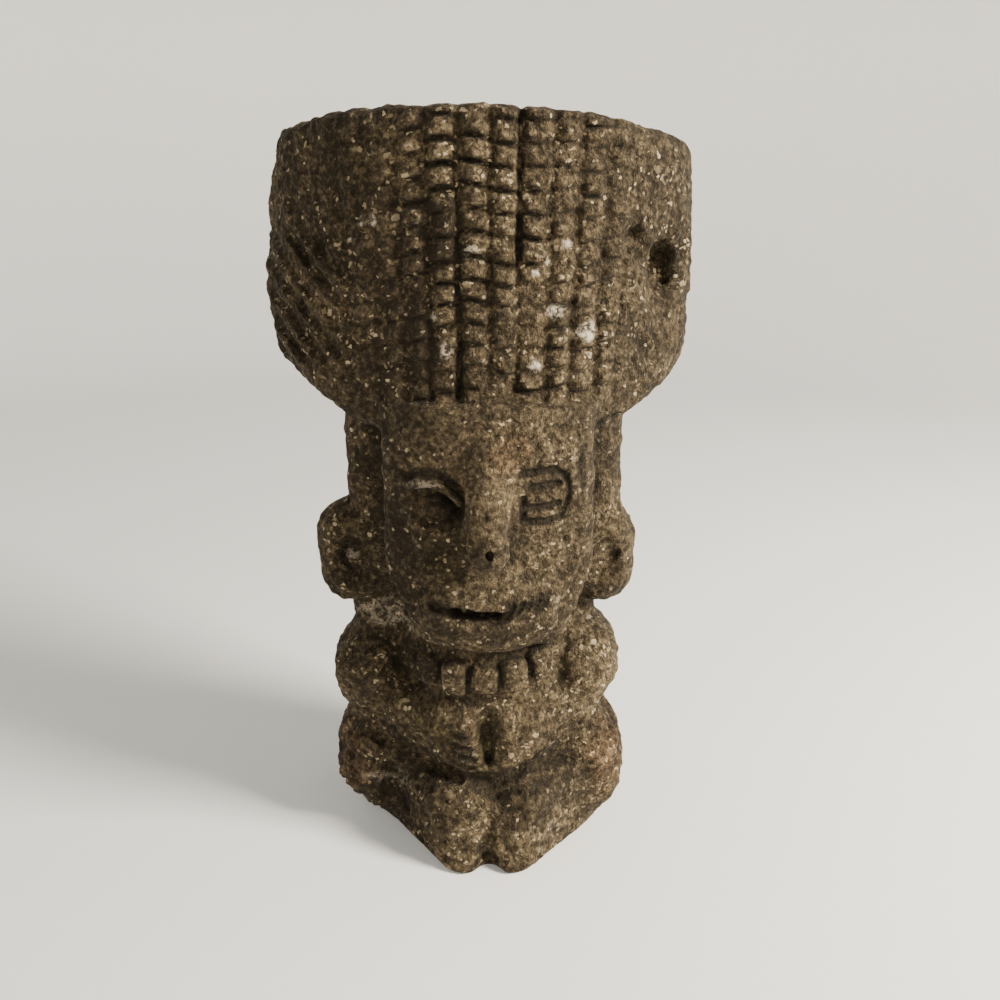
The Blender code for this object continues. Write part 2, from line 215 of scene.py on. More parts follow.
def hashed(cells, seed):
    """A repeatable number from 0 to 1 for each whole-numbered cell."""
    mixed = cells[..., 0] * 73856093 ^ cells[..., 1] * 19349663
    mixed = mixed ^ cells[..., 2] * 83492791 ^ (seed + 1) * 26544357
    mixed = (mixed ^ (mixed >> 13)) * 1274126177 & 0xFFFFFFFF
    mixed = (mixed ^ (mixed >> 15)) * 2246822519 & 0xFFFFFFFF
    return ((mixed ^ (mixed >> 16)) & 0xFFFF) / 65535.0


def noise(p, size, seed):
    """Smooth random values from -1 to 1 that change over about this size."""
    q = placed(p, (0, 0, 0), (31 + 17 * seed, 57 - 11 * seed, 23 * seed)) / size
    base = np.floor(q).astype(np.int64)
    t = smoothstep(q - base)
    total = np.zeros(len(p))
    for corner in itertools.product((0, 1), repeat=3):
        weight = np.prod(np.where(corner, t, 1.0 - t), axis=1)
        total += weight * hashed(base + corner, seed)
    return total * 2.0 - 1.0


def scattered(p, size, seed):
    """Distance to the nearest of many scattered points, in cells of this size, and its own number."""
    q = p / size
    base = np.floor(q).astype(np.int64)
    nearest, own = np.full(len(p), 9.0), np.zeros(len(p))
    for offset in itertools.product((-1, 0, 1), repeat=3):
        cell = base + offset
        point = cell + np.stack([hashed(cell, seed + axis) for axis in range(3)], axis=1)
        distance = np.linalg.norm(q - point, axis=1)
        closer = distance < nearest
        nearest = np.where(closer, distance, nearest)
        own = np.where(closer, hashed(cell, seed + 3), own)
    return nearest, own


def top_height(x):
    """The top of the headdress arches from side to side."""
    return DRAWN_HEIGHT - (x - HEADDRESS_TOP_CENTRE_X) ** 2 / (2 * HEADDRESS_TOP_RADIUS)


def half_width(x, z):
    """Half the headdress's width at a height, its left and right flanks a little different."""
    left = np.interp(z, (200, 210, 219, 228, 255, 272, 298, 330), (50, 66, 82, 94, 99.5, 98, 92, 85))
    right = np.interp(z, (200, 210, 219, 228, 255, 300, 330), (56, 76, 89, 95.5, 98, 96.5, 92))
    return np.where(x < 0, left, right) * HEADDRESS_HALF_WIDTH / 95


def headdress(p):
    """A block with a curved front, a flat back, an arched top and a lower edge drawn in to the brow."""
    x, y, z = p.T
    front = np.hypot(x, y - HEADDRESS_FRONT - HEADDRESS_FRONT_RADIUS) - HEADDRESS_FRONT_RADIUS
    form = shared(front, y - BACK - 8, 14)
    form = shared(form, (np.abs(x) - half_width(x, z)) * 0.85, 12)
    form = shared(form, z - top_height(x), 6)
    return shared(form, HEADDRESS_UNDERSIDE - z, 8)


def own_number(column, row, seed):
    """A repeatable number from 0 to 1 for one kernel."""
    cells = np.stack([column, row, np.zeros_like(column)], axis=-1).astype(np.int64)
    return hashed(cells, seed)


def groove_depth(column, row, z):
    """How deep the groove beside each kernel is: deeper between two ears, shallower where it is worn."""
    between = np.round(column)
    deep = np.where(between % 2 < 0.5, EAR_GROOVE_DEPTH, GROOVE_DEPTH)
    deep = deep * (0.5 + 0.8 * own_number(between, np.floor(row / 2), 8))
    deep = deep * np.interp(column, (0, 2, 3, 6.4, 7.6), (0.3, 0.5, 1.0, 1.0, 0.5))
    deep = deep * np.where(between == 4, np.interp(z, (285, 300), (1.5, 0.5)), 1.0)
    return deep * np.where(between == 6, np.interp(z, (255, 275), (0.5, 1.5)), 1.0)


def kernels(p):
    """How far the maize stands proud: worn kernels like shingles, with deeper grooves between two ears."""
    x, y, z = p.T
    fan = np.interp(z, (212, 262, 330), (0.96, 1.0, 1.08))
    spread = (x - FAN_CENTRE_X) / fan + FAN_CENTRE_X + 0.8 * noise(p, 18, 7)
    column = np.interp(spread, GROOVES, range(COLUMNS + 1), left=-0.8, right=COLUMNS + 0.8)
    place = np.floor(column)
    across = column - place
    arch = (DRAWN_HEIGHT - top_height(x)) * np.interp(z, (215, 330), (0.4, 1.0))
    shift = 4.4 * own_number(place, place * 0, 3) + 0.9 * np.sin(across * 3.1 + place)
    row = (DRAWN_HEIGHT - 1.2 - arch - z - shift + 1.6 * noise(p, 13, 4)) / KERNEL_ROW_HEIGHT
    number = np.floor(row)
    down = row - number
    strength = 0.5 + 0.7 * own_number(place, number, 5)
    strength *= np.interp(column, (0, 2, 2.6, COLUMNS - 1, COLUMNS), (0.3, 0.45, 1.0, 0.8, 0.3))
    strength *= np.interp(noise(p, 24, 6) + 0.3, (-0.5, 0.1), (0.3, 1.0))
    sides = smoothstep(across / 0.4) * smoothstep((1.0 - across) / 0.4)
    lip = smoothstep(down / 0.7) * smoothstep((1.0 - down) / 0.26)
    gap = smoothstep(1.0 - np.minimum(down, 1.0 - down) / 0.17)
    pillow = (KERNEL_RELIEF * sides * lip - ROW_GAP_DEPTH * gap) * strength
    edge = np.minimum(across, 1.0 - across)
    groove = groove_depth(column, row, z) * (1.0 - smoothstep(edge / 0.19))
    reach = smoothstep(column / 0.6 + 0.8) * smoothstep((COLUMNS - column) / 0.6 + 0.8)
    reach = reach * smoothstep((z - MAIZE_FOOT) / 4.0) * (y < 0)
    rim = smoothstep((top_height(x) - z + 1.0) / 7.0)
    return (pillow * rim - groove * (0.35 + 0.65 * rim)) * reach


def chiselled(p):
    """Fine upright tool marks on the plain part of the headdress, on the figure's right."""
    x, y, z = p.T
    stretched = p * np.array((1, 1, 0.25), np.float32)
    marks = noise(stretched, 4.8, 51) + 0.9 * noise(stretched, 9, 52)
    reach = smoothstep((-24 - x) / 8) * smoothstep((z - 222) / 10) * smoothstep((30 - y) / 10)
    return CHISEL_MARK_DEPTH * marks * reach


def side_pleats(p):
    """Slanting pleats low on the two flanks of the headdress."""
    x, y, z = p.T
    ridge = np.cos((z - np.abs(x) * PLEAT_SLANT + 3.4 * noise(p, 15, 53)) / PLEAT_SPACING * 2 * np.pi)
    reach = smoothstep((np.abs(x) - np.where(x < 0, 50, 64)) / 12) * smoothstep((PLEAT_TOP - z) / 18)
    reach *= smoothstep((z - PLEAT_FOOT) / 18) * smoothstep((28 - y) / 20)
    return ridge * reach * np.where(x < 0, 1.7, 0.6) * (0.8 + 0.5 * noise(p, 20, 54))


def flank_hole(p, form):
    """A deep slanting hole in a worn hollow of the flank, on the figure's left, with pits above it."""
    form = carved(form, ellipsoid(p, (89, -12, 263), (17, 14, 25)), 8)
    form = carved(form, limb(p, (66, -23, 279), (82, -14, 258), 7.2, 6.6), 1.5)
    form = carved(form, ellipsoid(p, (78, -6, 267), (8, 14, 12)), 3)
    for place, radius in FLANK_PITS:
        form = carved(form, ellipsoid(p, place, (radius, 3.5, radius)), 1.2)
    return form


def upright_block(p, x, half, front, low, high, rounding):
    """A rounded block between two heights, from its front to beyond the flat back, which is dressed last."""
    rear = BACK + 8
    centre = (x, (front + rear) / 2, (low + high) / 2)
    return block(p, centre, (half, (rear - front) / 2, (high - low) / 2), rounding)


def hair(p):
    """Hair falls straight on both sides of the face and down the back of the head."""
    return upright_block(p, 2, HAIR_HALF_WIDTH, HAIR_FRONT, 124, HEADDRESS_UNDERSIDE + 23, 13)


def face_plate(p):
    """The face is a mask with straight sides, drawn in below the cheeks to a broad chin."""
    x, y, z = p.T
    recede = np.interp(z, (CHIN - 8, NOSE_TIP), (5, 0))
    front = np.hypot(x - FACE_X, y - FACE_FRONT - FACE_FRONT_RADIUS - recede) - FACE_FRONT_RADIUS
    half = FACE_HALF_WIDTH / 46 * np.interp(z, (104, 115, 125, 134, 142), (32, 35.5, 40, 44.5, 46))
    form = shared(front, (np.abs(x - FACE_X) - half) * 0.9, 5)
    form = shared(form, y - 10, 5)
    form = shared(form, CHIN - 8 - z, 8)
    return shared(form, z - (HEADDRESS_UNDERSIDE + 14), 4)


def on_front(form, x, z, depth):
    """The point this far behind the front of the form, at a place across and up."""
    y = np.arange(-80, 0, 0.2)
    line = np.stack([np.full(len(y), x), y, np.full(len(y), z)], axis=1).astype(np.float32)
    return x, float(y[np.argmax(form(line) < 0)]) + depth, z


@functools.lru_cache(maxsize=None)
def drawn_on_front(form, places, depth):
    """A line of points drawn over the front of the form through places across and up."""
    return [on_front(form, x, z, depth) for x, z in places]


def right_eye(form, p):
    """A socket under a heavy lid, with ovals drawn round the eyeball."""
    x, z = EYES[0]

    def drawn(places, depth):
        return drawn_on_front(plain_face, tuple((x + across, z + up) for across, up in places), depth)

    (_, middle, _), = drawn([(0, -2)], 0)
    form = carved(form, ellipsoid(p, (x - 1, middle + 0.5, z - 2), (12.5, 7.5, 11), turn=(0, 8, 0)), 1.5)
    form = carved(form, ellipsoid(p, (x + 7, middle + 1, z + 1), (6.5, 8, 9)), 2)
    form = joined(form, ellipsoid(p, (x - 1, middle + 9.5, z - 3.6), (8.6, 7.2, 6.8), turn=(0, 14, 0)), 0.8)
    lid = [(across - 1, 9.0 - 0.036 * (across + 3) ** 2) for across in (-12, -8, -4, 0, 4, 8, 11)]
    form = joined(form, chained(p, drawn(lid, 1.1), 2.1), 1.0)
    form = carved(form, chained(p, drawn([(across, up - 3.8) for across, up in lid[1:]], 1.6), 1.3), 0.8)
    form = carved(form, chained(p, drawn([(across, up + 4.6) for across, up in lid], 0.2), 1.7), 1.5)
    turns = np.radians(np.arange(0, 361, 30))
    oval = [(x - 1 + 5.6 * math.cos(turn), middle + 3.2, z - 3.6 + 4 * math.sin(turn)) for turn in turns]
    form = carved(form, chained(p, oval, 1.0), 0.6)
    slit = [(x - 4.5, middle + 2.2, z - 3.2), (x + 2, middle + 2.2, z - 4.4)]
    return carved(form, chained(p, slit, 1.0), 0.6)


def left_eye(form, p):
    """The other eye is only drawn, with grooves: a closed bow and bars within it."""
    x, z = EYES[1]
    for stroke in LEFT_EYE_STROKES:
        line = drawn_on_front(plain_face, tuple((x + across, z + up) for across, up in stroke), 0.5)
        form = carved(form, chained(p, line, 1.4), 0.7)
    return form


def mouth(form, p):
    """A wide slit that curves up a little, notched between worn teeth on the figure's left."""
    places = np.linspace(-MOUTH_HALF_WIDTH, 8, 7)
    line = tuple((FACE_X + across, MOUTH - 1.5 + 0.007 * across**2) for across in places)
    slit = drawn_on_front(plain_face, line, 0.6)
    form = carved(form, chained(p, slit, 2.2), 1)
    for depth in (0, 3, 6):
        form = carved(form, chained(p, [(a, b + depth, c + 0.2 * depth) for a, b, c in slit[2:-1]], 3.0), 1)
    for across in TOOTH_NOTCHES:
        height = MOUTH - 0.8 + 0.25 * across
        notch = ((FACE_X + across + 1.4, height + 2.4), (FACE_X + across - 1.2, height - 2.4))
        form = carved(form, chained(p, drawn_on_front(plain_face, notch, 0.2), 1.2), 0.3)
    return form


def nose(form, p):
    """A straight broad nose with a pit in its tip, worn away under the figure's right nostril."""
    bridge = (FACE_X, FACE_FRONT + 16, HEADDRESS_UNDERSIDE + 11)
    form = joined(form, limb(p, bridge, (FACE_X, NOSE_FRONT + 9.5, NOSE_TIP + 6), 12.5, 8.6), 5)
    form = joined(form, ellipsoid(p, (FACE_X, NOSE_FRONT + 9, NOSE_TIP), (9.8, 9, 9)), 3)
    form = carved(form, ellipsoid(p, (FACE_X + 0.5, NOSE_FRONT + 1, NOSE_TIP + 1.5), (1.7, 3.4, 2.0)), 1.2)
    return carved(form, ellipsoid(p, (FACE_X - 4, NOSE_FRONT + 4, NOSE_TIP - 12), (4, 4, 3.4)), 2)


def plain_face(p):
    """The face without its eyes and mouth: a plate with a ridge of nose, full lips and hollow cheeks."""
    form = nose(face_plate(p), p)
    form = joined(form, ellipsoid(p, (FACE_X, FACE_FRONT + 6, MOUTH - 3), (MOUTH_HALF_WIDTH + 4, 9, 16)), 8)
    form = carved(form, ellipsoid(p, (FACE_X - 19, FACE_FRONT - 3, NOSE_TIP - 3), (11, 7, 13)), 5)
    return carved(form, ellipsoid(p, (FACE_X + 21, FACE_FRONT - 2.5, NOSE_TIP - 6), (10, 5, 12)), 5)


def face(p):
    """The schematic face, with two unlike eyes and a wide mouth."""
    form = plain_face(p)
    form = near_only(form, p, (EYES[0][0], FACE_FRONT, EYES[0][1]), (24, 26, 24), right_eye)
    form = near_only(form, p, (EYES[1][0], FACE_FRONT, EYES[1][1]), (18, 18, 18), left_eye)
    return near_only(form, p, (FACE_X, FACE_FRONT, MOUTH), (MOUTH_HALF_WIDTH + 8, 22, 16), mouth)


def ear_disc(p, side):
    """A rounded plate over each ear with a recess, which has a boss on the right and a hole on the left."""
    x, z = EAR_DISCS[side > 0]
    form = block(p, (x, -7, z), (17, 17, EAR_DISC_HALF_HEIGHT), 15.5)
    form = carved(form, ellipsoid(p, (x + 2 * side, -26, z), (10, 7, 13)), 3)
    if side < 0:
        form = carved(form, ellipsoid(p, (x + 1, -24, z + 1), (9.5, 9, 11)), 1.5)
        return joined(form, ellipsoid(p, (x + 1, -17, z + 1), (4.2, 6.5, 4.4)), 1.2)
    return carved(form, ellipsoid(p, (x + 5, -21, z + 1), (3.2, 9, 4.5)), 1.5)


def torso(p):
    trunk = upright_block(p, TRUNK_X, TRUNK_HALF_WIDTH, TRUNK_FRONT, -8, 140, 15)
    return joined(trunk, ellipsoid(p, (3, -8, 84), (38, 35, 42)), 8)


def necklace(form, p):
    """Square beads in an arc under the chin, each a little different and worn, on a collar."""
    reach = np.hypot(p[:, 0] - FACE_X + 2, p[:, 1] - 1) - COLLAR_RADIUS
    collar = shared(reach, np.abs(p[:, 2] - COLLAR_MIDDLE) - COLLAR_THICKNESS / 2, 4)
    form = joined(form, collar, 5)
    for number, place in enumerate(np.linspace(-1, 1, BEADS)):
        angle = place * BEAD_ARC
        sine, cosine = math.sin(math.radians(angle)), math.cos(math.radians(angle))
        own = math.sin(number * 2.4)
        depth = 2.6 - 43 * cosine + own + 3 * place**4
        centre = (FACE_X - 2 + 42 * sine, depth, 90 + 6 * place**2 + 3 * place)
        half = (BEAD_WIDTH / 2 + 0.3 + 0.5 * own, 6.8 - 2.4 * place**6, BEAD_HEIGHT / 2 - 0.9 * own)
        bead = block(p, centre, half, 3.0, turn=(0, -14 * place + 6 * own, angle))
        form = joined(form, bead, 1.0)
    places = (-28, -20, -10, 0, 10, 20)
    line = [(across + 2, -45.5 + 0.012 * across**2, 79.5 + 0.004 * across**2) for across in places]
    return carved(form, chained(p, line, 1.8), 2)


def shoulder_and_knee(p, side):
    """The upper arm and the knee bulge at the side, fuller at the front than at the back."""
    lobes = []
    for (x, z), half_height in ((SHOULDERS[side > 0], 21), (KNEES[side > 0], 27.5)):
        lobe = block(p, (x, 0, z), (17, 31, half_height), 16, turn=(0, 0, side * 4))
        lobes.append(shared(lobe, ellipsoid(p, (x - side * 20, -2, z), (39, 36, half_height * 1.5)), 8))
    return np.minimum(*lobes)


def forearm(p, side):
    """A forearm drawn in over the belly, ending in a hand that meets the other in the middle."""
    flattened = p * np.array((1, 1, 0.8), np.float32) + np.array((0, 0, 0.2 * HAND_HEIGHT), np.float32)
    elbow, wrist = (side * 48 - 3, -12, HAND_HEIGHT + 7), (side * 20 + 3, -29, HAND_HEIGHT + 1)
    form = limb(flattened, elbow, wrist, 13, 14)
    hand = block(p, (side * 12 + 3, -35, HAND_HEIGHT), (11, 12, 16), 8, turn=(0, 0, side * 24))
    return joined(form, hand, 5)


def fingers(form, p):
    """Curved grooves between the fingers of the right hand, and the deep groove where the hands meet."""
    form = carved(form, block(p, (3.5, -49, HAND_HEIGHT + 1), (1.9, 6.5, 13), 1.7), 2.5)
    for place in FINGER_GROOVES:
        z = HAND_HEIGHT + place - 3
        line = [(-3 - 6 * step, -47.8 + 0.35 * step**2, z + 1.6 * step + 0.3 * step**2) for step in range(5)]
        form = carved(form, chained(p, line, 1.7), 0.8)
    form = carved(form, chained(p, [(9, -49, HAND_HEIGHT + 9), (8.5, -49, HAND_HEIGHT - 8)], 1.6), 2)
    form = joined(form, block(p, (14, -41, HAND_HEIGHT - 2), (4.6, 5.5, 8.5), 1.5, turn=(0, -8, 16)), 1)
    return carved(form, chained(p, [(20, -47, HAND_HEIGHT + 6), (19.5, -47, HAND_HEIGHT - 9)], 1.2), 1.5)


def base_flank(p):
    """How far a point is outside the wedge that the base draws on the ground."""
    out = np.abs(p[:, 0] - FACE_X + 1)
    spread = np.where(p[:, 0] < FACE_X - 1, 0.72, 0.85)
    return out - 18 - (p[:, 1] - FOOT_TIP) * spread


def legs(p):
    """Shins drawn in from the knees to a blunt wedge, with two feet side by side at its point."""
    x, y, z = p.T
    front = FOOT_TIP + 2 + z * 0.2 - y
    form = shared(base_flank(p) * 0.76, front, 9)
    form = shared(form, np.abs(x - FACE_X + 1) - 56, 10)
    form = shared(form, (z - 40 - (y + 30) * 0.4) * 0.93, 10)
    form = shared(form, y - 20, 10)
    for side in (-1, 1):
        foot = (FACE_X + side * FOOT_SPREAD, FOOT_TIP + 10, 3)
        shin = (FACE_X + side * (FOOT_SPREAD + 5), FOOT_TIP + 21, 30)
        form = joined(form, limb(p, foot, shin, 10, 12), 6)
    form = carved(form, limb(p, (FACE_X, FOOT_TIP, -4), (FACE_X, FOOT_TIP + 1, 12), 7, 2), 4)
    groove = [(FACE_X - 0.5, FOOT_TIP + 2 + 0.2 * height, height) for height in (-2, 8, 17, 26, 33)]
    return carved(form, chained(p, groove, 2.8), 2)


def lap(form, p):
    """The stone under the forearms, filled up beside the hands, with a crease on either side."""
    form = joined(form, ellipsoid(p, (3, -36, HAND_HEIGHT - 12), (16, 12, 10)), 6)
    form = joined(form, limb(p, (8, -27, HAND_HEIGHT - 20), (46, -14, HAND_HEIGHT - 8), 14, 13), 5)
    form = joined(form, limb(p, (-4, -26, HAND_HEIGHT - 21), (-42, -15, HAND_HEIGHT - 12), 13, 12), 5)
    crease = [(-48, -27, 51), (-38.5, -29, 46), (-24, -34.5, 41.6), (-11, -44, 40.5)]
    form = carved(form, chained(p, crease, 3.4), 2.5)
    return carved(form, limb(p, (16, -42, HAND_HEIGHT - 16), (46, -32, HAND_HEIGHT + 3), 2.6, 2.6), 2.5)


def figure(p):
    """Distance from each point to the surface of the stone."""
    form = joined(torso(p), hair(p), 8)
    form = joined(form, legs(p), 5)
    for side in (-1, 1):
        form = joined(form, ear_disc(p, side), 3)
        form = joined(form, shoulder_and_knee(p, side), 5)
    for side in (-1, 1):
        form = joined(form, forearm(p, side), 4)
    form = shared(form, (base_flank(p) - p[:, 2] * 1.1) * 0.6, 5)
    hollow = ellipsoid(p, (-35, -36, 88), (11, 13, 13), turn=(0, -30, 0))
    form = lap(carved(form, hollow, 5), p)
    form = near_only(form, p, (FACE_X, -30, 90), (52, 40, 26), necklace)
    form = near_only(form, p, (-2, -45, HAND_HEIGHT), (36, 24, 26), fingers)
    form = joined(form, face(p), 1.5)
    form = joined(form, headdress(p) - kernels(p) - side_pleats(p) - chiselled(p), 3)
    pebble = ellipsoid(p, (-45.5, -31.5, 250.6), (3.6, 3.2, 3.6))
    form = joined(form, pebble, 1.2)
    form = shared(flank_hole(p, form), p[:, 1] - BACK, 9)
    return shared(form, -p[:, 2], 1.5)


def in_parts(function, p, size=60000):
    """The function of many points, worked out in parts side by side."""
    parts = [p[start : start + size] for start in range(0, len(p), size)]
    with ThreadPoolExecutor(4) as workers:
        return np.concatenate(list(workers.map(function, parts)))


def sampled():
    """The figure's distance at every node of a grid. Blocks of nodes far from the surface keep one value."""
    low, high = (np.array(corner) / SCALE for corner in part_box("stone_figure"))
    blocks = np.ceil((high - low + 2 * MARGIN) / (SAMPLE_SPACING * BLOCK)).astype(int)
    counts = blocks * BLOCK
    nodes = [low[axis] - MARGIN + SAMPLE_SPACING * np.arange(counts[axis]) for axis in range(3)]
    middles = [axis_nodes.reshape(-1, BLOCK).mean(axis=1) for axis_nodes in nodes]
    grid = np.stack(np.meshgrid(*middles, indexing="ij"), axis=-1).astype(np.float32)
    values = in_parts(figure, grid.reshape(-1, 3)).reshape(blocks)
    reach = SAMPLE_SPACING * BLOCK * 1.2 + 3
    near = np.abs(values) < reach
    for axis in range(3):
        values, near = values.repeat(BLOCK, axis), near.repeat(BLOCK, axis)
    i, j, k = np.nonzero(near)
    points = np.stack([nodes[0][i], nodes[1][j], nodes[2][k]], axis=1)
    values[i, j, k] = in_parts(figure, points.astype(np.float32))
    return values, nodes


def surface_net(values, nodes):
    """Points and quads of the skin: a point in each cell it crosses, a quad across each edge it cuts."""
    least = SAMPLE_SPACING * 0.02
    values = np.where(values < 0, np.minimum(values, -least), np.maximum(values, least))
    cells_shape = np.array(values.shape) - 1
    corners = list(itertools.product((0, 1), repeat=3))

    def corner_values(corner):
        return values[tuple(slice(start, start + size) for start, size in zip(corner, cells_shape))]

    inside = sum((corner_values(corner) < 0).astype(np.int8) for corner in corners)
    cells = np.argwhere((inside > 0) & (inside < 8))
    index = np.full(cells_shape, -1)
    index[tuple(cells.T)] = np.arange(len(cells))
    at = {corner: corner_values(corner)[tuple(cells.T)] for corner in corners}
    total, count = np.zeros((len(cells), 3)), np.zeros(len(cells))
    for corner in corners:
        for axis in range(3):
            if corner[axis]:
                continue
            other = tuple(1 if a == axis else c for a, c in enumerate(corner))
            crosses = (at[corner] < 0) != (at[other] < 0)
            share = np.where(crosses, at[corner] / np.where(crosses, at[corner] - at[other], 1.0), 0.0)
            place = np.repeat(np.array([corner], float), len(cells), axis=0)
            place[:, axis] = share
            total += place * crosses[:, None]
            count += crosses
    origin = np.array([axis_nodes[0] for axis_nodes in nodes])
    points = (cells + total / count[:, None]) * SAMPLE_SPACING + origin
    quads = []
    for axis in range(3):
        b, c = (axis + 1) % 3, (axis + 2) % 3
        solid = np.moveaxis(values, axis, 0) < 0
        starts = np.argwhere(np.moveaxis(solid[:-1] != solid[1:], 0, axis))
        starts = starts[(starts[:, b] > 0) & (starts[:, c] > 0)]
        outward = values[tuple(starts.T)] < 0
        ring = []
        for back_b, back_c in ((1, 1), (0, 1), (0, 0), (1, 0)):
            cell = starts.copy()
            cell[:, b] -= back_b
            cell[:, c] -= back_c
            ring.append(index[tuple(cell.T)])
        ring = np.stack(ring, axis=1)
        quads.append(np.where(outward[:, None], ring, ring[:, ::-1]))
    return points, np.concatenate(quads)


def normals_of(points, faces):
    """The outward direction at each point, from the faces round it."""
    across = points[faces[:, 2]] - points[faces[:, 0]]
    along = points[faces[:, -1]] - points[faces[:, 1]]
    facing = np.cross(across, along)
    normals = np.zeros_like(points)
    for corner in range(faces.shape[1]):
        for axis in range(3):
            normals[:, axis] += np.bincount(faces[:, corner], facing[:, axis], len(points))
    return normals / np.maximum(np.linalg.norm(normals, axis=1, keepdims=True), 1e-9)


def weathering(p):
    """How far the stone is worn down or crusted up at each point: broad waves, lumps, crumbs and pits."""
    broad = 0.8 * noise(p, 34, 11) + 0.55 * noise(p, 15, 12) - 0.25
    rough = np.interp(noise(p, 45, 13), (-0.4, 0.5), (0.75, 1.3))
    rough = rough * np.interp(p[:, 2], (20, 110), (1.6, 1.05))
    crumbs = 0.6 * noise(p, 7.5, 14) + 0.65 * noise(p, 4.2, 15) + 0.55 * noise(p, 2.6, 16)
    pit, own = scattered(p, PIT_SPACING, 20)
    pits = (1.0 - smoothstep(pit / (0.1 + 0.2 * own))) * (own > 0.35) * (0.6 + 1.5 * own)
    chip, chip_own = scattered(p, CHIP_SPACING, 30)
    chips = (1.0 - smoothstep(chip / 0.42)) * (chip_own > 0.6) * 0.7
    grains = (1.0 - smoothstep(chip / 0.38)) * (chip_own < 0.25) * 0.55
    return broad + rough * (crumbs + grains - chips) - pits


def preserved(p):
    """The share of the wear that is left: less where the carving is still crisp, and on the maize."""
    places = [(EYES[0], 17), (EYES[1], 15), ((FACE_X - 4, MOUTH), 22)]
    places += [((FACE_X, 90), 26), ((-6, HAND_HEIGHT), 18), *((disc, 15) for disc in EAR_DISCS)]
    share = np.ones(len(p))
    for (x, z), reach in places:
        away = np.linalg.norm((p - np.array((x, FACE_FRONT, z))) / (1, 2.5, 1), axis=1)
        share *= 0.4 + 0.6 * smoothstep((away - 0.7 * reach) / (0.5 * reach))
    return share * (1.0 - 0.3 * smoothstep((p[:, 2] - 206) / 8) * smoothstep((66 - np.abs(p[:, 0])) / 10))


def filled_mesh(name, points, faces):
    """A mesh made of points in metres and faces that all have the same number of corners."""
    data = bpy.data.meshes.new(name)
    data.vertices.add(len(points))
    data.vertices.foreach_set("co", np.asarray(points, np.float32).ravel())
    data.loops.add(faces.size)
    data.loops.foreach_set("vertex_index", faces.astype(np.int32).ravel())
    data.polygons.add(len(faces))
    data.polygons.foreach_set("loop_start", np.arange(0, faces.size, faces.shape[1], dtype=np.int32))
    data.update(calc_edges=True)
    data.validate()
    return data


def thinned(data, triangles):
    """The mesh with its triangles spent where the surface turns."""
    dense = bpy.data.objects.new("dense", data)
    bpy.context.scene.collection.objects.link(dense)
    thinning = dense.modifiers.new("thinning", "DECIMATE")
    thinning.ratio = triangles / (2 * len(data.polygons))
    kept = bpy.data.meshes.new_from_object(dense.evaluated_get(bpy.context.evaluated_depsgraph_get()))
    bpy.data.objects.remove(dense, do_unlink=True)
    return kept


def keep_attribute(data, name, values):
    attribute = data.attributes.new(name, "FLOAT", "POINT")
    attribute.data.foreach_set("value", np.asarray(values, np.float32))


def openness(p, normals, distance):
    """From 0 deep in a recess to 1 in the open, from the free space in front of each point."""
    return np.clip(in_parts(figure, (p + normals * distance).astype(np.float32)) / distance, 0.0, 1.0)


def blot(p, centre, radii, ragged=0.35):
    """A patch of colour round a place, with a ragged edge."""
    reach = np.linalg.norm((p - np.array(centre)) / np.array(radii), axis=1)
    return smoothstep((1.15 - reach + ragged * noise(p, 6, 41)) / 0.5)


# The stone's patches, each with its place and its reach: pale grains, white pebbles, thin grey crusts,
# painted shade, painted light, redder stone, and greenish stains
PALE_BLOTS = (
    ((-29, -34, 309), (11, 16, 14)),
    ((-4, -40, 306), (14, 16, 18)),
    ((12, -42, 300), (10, 16, 16)),
    ((36, -38, 270), (13, 16, 12)),
    ((44, -34, 236), (12, 16, 14)),
    ((20, -42, 228), (8, 14, 10)),
    ((-44, -16, 112), (10, 20, 11)),
    ((18, -48, 194), (8, 14, 7)),
    ((46, -22, 90), (18, 26, 21)),
    ((-6, -50, 12), (16, 18, 12)),
    ((26, -44, 14), (16, 18, 14)),
    ((-46, -30, 28), (12, 20, 8)),
)
WHITE_SPOTS = (
    ((-12.4, -40, 237), 3.0),
    ((24, -40, 229.5), 2.8),
    ((31.5, -38, 252), 3.2),
    ((45, -30, 243), 4.2),
    ((-2, -42, 275), 2.8),
    ((23, -41, 267.5), 1.6),
    ((28, -40, 271), 1.6),
    ((36, -38, 278), 2.0),
    ((-23.5, -40, 285), 1.6),
    ((-46, -31, 286), 1.3),
    ((-41, -33, 286.5), 1.8),
    ((-51, -28, 279), 1.8),
    ((-17.5, -41, 250), 1.8),
    ((22, -50, 104), 2.2),
    ((-20, -48, 78), 1.8),
)
VEILS = (
    ((-46, -16, 111), (11, 22, 8)),
    ((-34, -30, 109), (8, 20, 5)),
    ((-44, -30, 30), (12, 20, 5)),
    # Pale crust along the right eye's lid, which also serves as a painted highlight on its rim
    ((EYES[0][0] - 5, FACE_FRONT + 4, EYES[0][1] + 8), (9, 8, 2)),
    ((-58, -20, 142), (4, 12, 3)),
)
